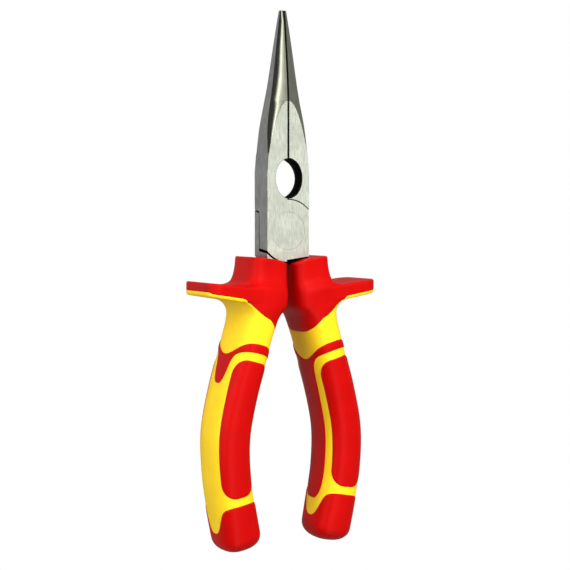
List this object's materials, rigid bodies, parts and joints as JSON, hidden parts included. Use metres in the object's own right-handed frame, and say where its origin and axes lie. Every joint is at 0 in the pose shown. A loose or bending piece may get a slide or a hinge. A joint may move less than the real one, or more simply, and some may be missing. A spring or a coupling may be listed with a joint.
{
  "type": "needle nose pliers",
  "caption": "Long-nose pliers with tapered jaws, an oval hole behind them, a riveted lap joint and insulated handles with finger guards and inlaid grips.",
  "frame": {"origin": "under the middle of the tool's bounding box, on the surface it lies on", "axes": "the tool lies on its back: +Y towards the jaw tips, +X across the handles to the right when seen from the front, +Z out of the front face"},
  "size_m": [0.0704, 0.1995, 0.0255],
  "materials": {
    "forged_steel": "ground",
    "rivet_steel": "ground",
    "yellow_sleeve": "satin",
    "red_grip": "satin"
  },
  "bodies": {
    "fixed_half": {"jaw_half_back": "forged_steel", "pivot_rivet": "rivet_steel", "left_core": "yellow_sleeve", "left_guard": "red_grip", "left_band": "red_grip", "left_cap": "red_grip", "left_pad_front": "red_grip", "left_pad_back": "red_grip"},
    "moving_half": {"jaw_half_front": "forged_steel", "right_core": "yellow_sleeve", "right_guard": "red_grip", "right_band": "red_grip", "right_cap": "red_grip", "right_pad_front": "red_grip", "right_pad_back": "red_grip"}
  },
  "joints": [
    {"name": "pivot_hinge", "type": "hinge", "parent": "fixed_half", "child": "moving_half", "pos_m": [0, 0.01843, 0.01315], "axis": [0, 0, 1], "range_deg": [0, 40]}
  ]
}
